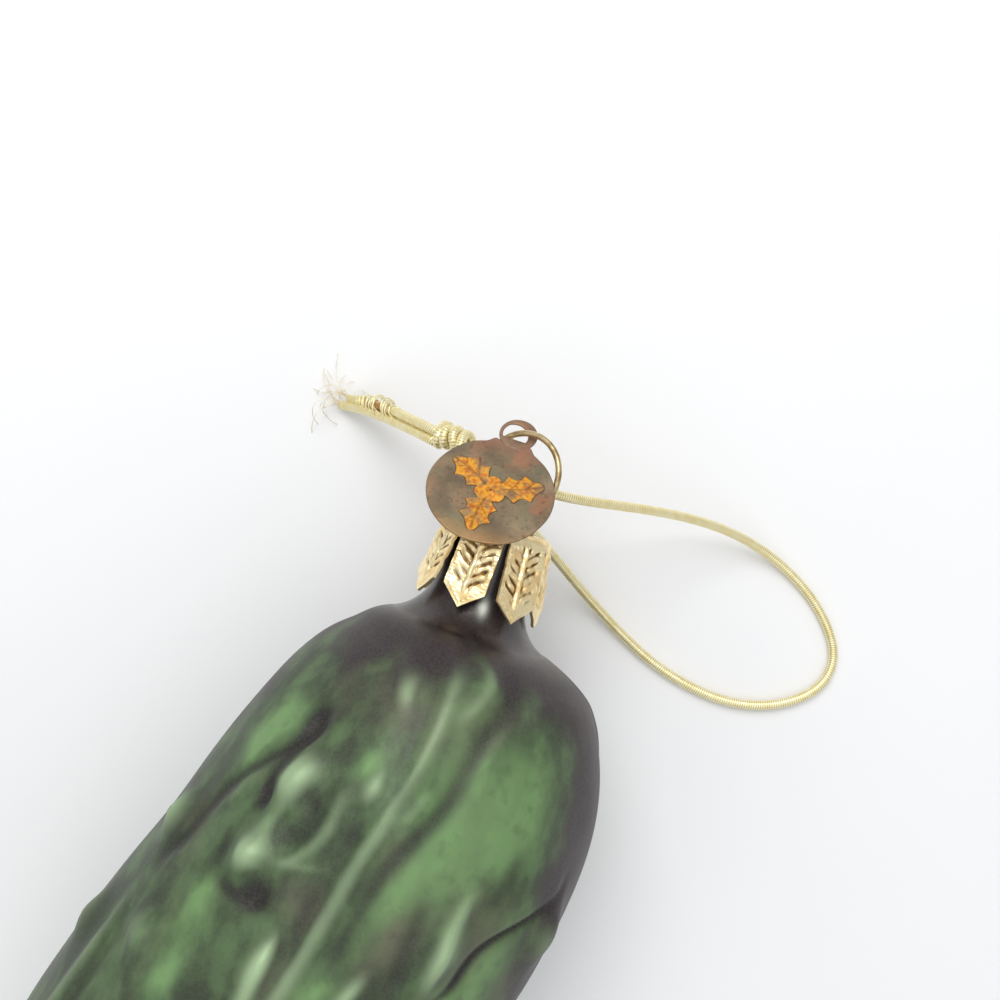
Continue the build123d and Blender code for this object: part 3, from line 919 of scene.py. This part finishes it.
skin("hang_tag", [tag_face], tarnish, "tag", ["tag_disc"],
     {"motif": [tag_motif], "veins": [tag_veins], "near_eye": [tag_near]}, sharp=60)
eye_ring = eye_rings()
eye_nearness = 0.85
skin("hang_tag_eye", [eye_ring], tarnish, "tag",
     fields={"near_eye": [np.full(eye_ring.shape[:2], eye_nearness)]}, looped=True)

# Cord: one length of soft cord wrapped in gold lame, led through the bail and knotted to itself. In the
# knot one strand is wound round the other. The two tails lie side by side and end frayed at the table.
cord_radius = 0.6
tail_upper = [
    (-24.4, 8.9, 1.6), (-22.1, 9.2, 3.5), (-18.9, 9.2, 7.0), (-15.2, 8.7, 11.4), (-12.0, 8.2, 15.0),
]
loop_route = [
    (-6.6, 7.0, 20.2), (-4.6, 6.0, 23.0), (-1.5, 5.5, 23.9), (2.0, 5.3, 23.4), (5.6, 5.5, 22.2),
    (9.8, 6.2, 19.3), (15.0, 7.3, 14.3), (21.6, 8.4, 8.4), (28.4, 8.7, 3.9), (35.0, 7.5, 1.2),
    (40.9, 4.8, 0.7), (45.2, 1.2, 0.65), (47.5, -2.5, 0.65), (47.3, -6.3, 0.65), (44.7, -9.5, 0.65),
    (40.4, -11.9, 0.65), (35.2, -12.9, 0.65), (29.6, -12.4, 0.65), (24.1, -10.9, 0.7), (18.6, -8.3, 1.1),
    (13.2, -5.3, 2.6), (8.5, -2.4, 5.4), (4.0, 0.3, 9.0), (-0.4, 2.8, 12.2), (-4.6, 5.4, 14.8),
]
tail_lower = [
    (-11.8, 7.0, 14.8), (-15.1, 7.5, 10.9), (-19.4, 8.0, 6.3), (-22.9, 8.1, 2.6), (-25.3, 7.8, 0.8),
]
knot_at = np.array([-8.8, 7.8, 16.4])
knot_run = unit(np.array([-0.66, 0.12, -0.74]))
knot_side = unit(np.cross(knot_run, neck_axis))
knot_turns = 4.1
knot_pitch = 1.5
knot_reach = 1.15
knot_tilt = 0.95
knot_end_angle = np.pi / 2
knot_uneven = 0.32
tilt_phase = 0.9
uneven_turns = 1.7
uneven_phase = 2.6
points_per_turn = 12
core_half = 1.6
cord_step = 0.06


def knot_wraps():
    """Control points of the wound strand: a helix about the knot's run, from the loop's end to the tail.

    The turns are tilted by a cosine of the angle along the run, and their reach is a little uneven.
    """
    turned = np.linspace(0, knot_turns, int(knot_turns * points_per_turn) + 1)
    angle = knot_end_angle + 2 * np.pi * (knot_turns - turned)
    along = knot_pitch * (turned - knot_turns / 2) + knot_tilt * np.cos(angle + tilt_phase)
    reach = knot_reach + knot_uneven * np.sin(uneven_turns * 2 * np.pi * turned + uneven_phase)
    out = np.cos(angle)[:, None] * knot_side + np.sin(angle)[:, None] * np.cross(knot_run, knot_side)
    return knot_at + along[:, None] * knot_run + reach[:, None] * out


def spline_line(points):
    """Points along a smooth spline with these control points, read back from a curve."""
    curve = bpy.data.curves.new("route", "CURVE")
    curve.dimensions = "3D"
    spline = curve.splines.new("NURBS")
    spline.points.add(len(points) - 1)
    spline.points.foreach_set("co", np.column_stack([points, np.ones(len(points))]).ravel())
    spline.order_u = 3
    spline.use_endpoint_u = True
    curve.resolution_u = 24
    carrier = bpy.data.objects.new("route", curve)
    mesh = bpy.data.meshes.new_from_object(carrier)
    line = np.zeros(len(mesh.vertices) * 3)
    mesh.vertices.foreach_get("co", line)
    bpy.data.meshes.remove(mesh)
    bpy.data.objects.remove(carrier)
    bpy.data.curves.remove(curve)
    return line.reshape(-1, 3)


def spaced(line, step):
    """The line again with points an even step apart, and each point's distance along it."""
    along = np.concatenate([[0.0], np.cumsum(np.linalg.norm(np.diff(line, axis=0), axis=1))])
    at = np.linspace(0, along[-1], int(along[-1] / step) + 1)
    return np.stack([np.interp(at, along, line[:, axis]) for axis in range(3)], axis=1), at


core_strand = knot_at + np.array([[core_half], [0.0], [-core_half]]) * knot_run
cord_points = np.concatenate([tail_upper, core_strand, loop_route, knot_wraps(), tail_lower])
cord_line, cord_along = spaced(spline_line(cord_points), cord_step)
wrap_pitch = 0.30
wrap_depth = 0.016
cord_sides = 12
wrap_angle = circle(cord_sides)[None, :]
wrap_wave = np.cos(2 * np.pi * cord_along[:, None] / wrap_pitch + wrap_angle)

lame_pale = tint(255, 249, 208)
lame_gold = tint(246, 232, 174)
groove_gold = tint(216, 195, 134)
core_brown = tint(168, 112, 52)
lame, start = finish("gold_lame_wrap")
thread = start.noise(0.3, 2.0)
glint = start.noise(1.1, 3.0, seed=8.0)
colour = glint.step(0.35, 0.7).mix(lame_pale, lame_gold)
# Painted shade in the grooves between the turns of the wrap.
colour = (1 - start.attribute("wrap").step(-1.0, 0.3)).mix(colour, groove_gold)
colour = (start.attribute("bare") * glint.step(0.35, 0.55)).mix(colour, core_brown)
shade(start, {"Base Color": colour, "Roughness": 0.29 + thread * 0.14, "Metallic": 0.72}, thread, 0.008)
# The wrap is off a short stretch of the upper tail, where the brown core shows.
bare_start = (3.0, 5.0)
bare_end = (7.5, 9.5)
bare_most = 0.9
bare = bare_most * smooth(cord_along, *bare_start) * (1 - smooth(cord_along, *bare_end))
bare = np.broadcast_to(bare[:, None], wrap_wave.shape)
cord_skin = tube(cord_line, cord_radius + wrap_depth * wrap_wave, cord_sides)
cord = skin("gold_cord", [cord_skin], lame, "bail",
            ["cord_loop", "cord_knot", "cord_tail_upper", "cord_tail_lower"],
            {"wrap": [wrap_wave], "bare": [bare]})

# Loosened wrap: near the end of the upper tail two strips of the lame have come undone, and stand off the
# core in loose, uneven spirals.
undone_start = 2.0
undone_end = 10.5
undone = cord_line[(cord_along > undone_start) & (cord_along < undone_end)]
foil_radius = 0.10
foil_sides = 6
foil_bunching = 0.12
foil_stand = 0.64
foil_swell = 0.75
foil_windings = [(6.0, 0.0), (8.6, 2.2)]


def loosened(turns, phase):
    """Line of a strip wound along the undone stretch: a helix that bunches and whose radius swells."""
    share = np.linspace(0, 1, len(undone))
    turned = phase + 2 * np.pi * (turns * share + foil_bunching * np.sin(17 * share))
    swelling = np.sin(np.pi * share) * (0.6 + 0.4 * np.sin(31 * share + 1.0 + phase))
    return tube(undone, (foil_stand + foil_swell * np.abs(swelling))[:, None], 1, turned)[:, 0]


foil_strips = [tube(loosened(*winding), foil_radius, foil_sides) for winding in foil_windings]
loose_foil = skin("loosened_wrap", foil_strips, lame, "bail",
                  fields={"wrap": [np.ones(strip.shape[:2]) for strip in foil_strips]})

# Fray: fine pale fibres of the cord's core, which nothing binds at the two cut ends. They stand out of
# the ends and curl over towards the table.
fibre_radius = 0.045
fibre_sides = 5
fibre_steps = 30
fibres_per_end = 10
fibre_heading = 120
heading_spread = 75
fibre_curl = 330
straight_share = 0.42
shortest_fibre = 2.6
longer_by = 4.2
lowest_rise = 0.3
higher_by = 2.2
root_ring = 0.35
root_turn = 2.4
spread_ratios = (0.6180, 0.7549, 0.5698)


def fray(tip, seed):
    """Lines of the fibres at a cut end: arcs in plan, each with its own heading, curl and rise.

    heading = first heading + curl t, height = tip's height (1 - t) + rise sin(pi t), t from 0 to 1.
    """
    number = np.arange(fibres_per_end)[:, None] + seed
    first, second, third = (number * ratio % 1 for ratio in spread_ratios)
    share = np.linspace(0, 1, fibre_steps)[None, :]
    curl = (second - straight_share) * fibre_curl
    heading = np.radians(fibre_heading + heading_spread * first + curl * share)
    step = (shortest_fibre + longer_by * third**1.5) / fibre_steps
    x = tip[0] + root_ring * np.cos(root_turn * number) + np.cumsum(step * np.cos(heading), axis=1)
    y = tip[1] + root_ring * np.sin(root_turn * number) + np.cumsum(step * np.sin(heading), axis=1)
    z = fibre_radius + tip[2] * (1 - share) + (lowest_rise + higher_by * second) * np.sin(np.pi * share)
    return np.stack([x, y, z], axis=-1)


fibre_pale = tint(250, 244, 226)
fibre_straw = tint(226, 206, 164)
core_fibre, start = finish("frayed_core_fibre")
bleach = start.noise(1.2, 2.0, seed=2.0)
colour = bleach.step(0.35, 0.65).mix(fibre_pale, fibre_straw)
shade(start, {"Base Color": colour, "Roughness": 0.55 + bleach * 0.1}, bleach, 0.01)
fibre_lines = np.concatenate([fray(tail_upper[0], 0.0), fray(tail_lower[-1], 40.0)])
fibres = [tube(line, fibre_radius, fibre_sides) for line in fibre_lines]
frayed_ends = skin("frayed_ends", fibres, core_fibre, "bail")

# Table and light: a plain pale table in a soft room, which is bright and a little patchy overhead and
# greyer towards the horizon, with one large soft light above.
table_half = 3000.0
paper_grey = tint(238, 238, 238)
paper_white = tint(242, 241, 241)
paper, start = finish("pale_table")
shade(start, {"Base Color": start.noise(60.0, 2.0).mix(paper_grey, paper_white), "Roughness": 0.75})
table_mesh = bpy.data.meshes.new("table")
table_corners = table_half * MM * np.array([(-1, -1, 0), (1, -1, 0), (1, 1, 0), (-1, 1, 0)])
table_mesh.from_pydata(table_corners, [], [(0, 1, 2, 3)])
table_mesh.materials.append(paper)
table = show("table", table_mesh)

world = bpy.data.worlds.new("soft_room")
world.use_nodes = True
sky = Value(world.node_tree)
horizon_grey = (0.34, 0.34, 0.35, 1.0)
overhead_white = (0.92, 0.94, 0.96, 1.0)
dim_patch = (0.42, 0.42, 0.42, 1.0)
bright_patch = (1.72, 1.72, 1.72, 1.0)
around = sky.node("TexCoord", output="Generated")
rise = sky.node("SeparateXYZ", None, {"Vector": around}, "Z")
room = rise.step(-0.1, 1.0).mix(horizon_grey, overhead_white)
patchy = sky.node("TexNoise", None, {"Vector": around, "Scale": 2.6, "Detail": 1.0})
patchy = patchy.step(0.38, 0.62).mix(dim_patch, bright_patch)
multiply = {"data_type": "RGBA", "blend_type": "MULTIPLY"}
room = sky.node("Mix", multiply, {0: rise.step(0.25, 0.65), 6: room, 7: patchy}, 2)
backdrop = world.node_tree.nodes["Background"]
world.node_tree.links.new(room.socket, backdrop.inputs["Color"])
bpy.context.scene.world = world

lamp_place = np.array([-120.0, 260.0, 420.0])
lamp_target = np.array([0.0, -20.0, 0.0])
lamp_size = 320.0
lamp_data = bpy.data.lights.new("overhead", "AREA")
lamp_data.size = lamp_size * MM
lamp_data.energy = 1.3
lamp = show("overhead", lamp_data)
lamp.location = home + MM * lamp_place
lamp.rotation_mode = "QUATERNION"
lamp.rotation_quaternion = Vector(lamp_target - lamp_place).to_track_quat("-Z", "Y")

# Camera: straight above the cap and looking down, turned so that the neck points up and to the right in
# the picture.
camera_place = np.array([-1.314, 2.745, 184.8])
camera_turn = np.radians(19.0)
camera_data = bpy.data.cameras.new("camera")
camera_data.lens = 50.0
camera_data.sensor_width = 36.0
camera_data.clip_start = 0.01
camera = show("camera", camera_data)
camera.location = home + MM * camera_place
camera.rotation_euler = (0.0, 0.0, camera_turn)
bpy.context.scene.camera = camera
bpy.context.scene.view_settings.view_transform = "Standard"
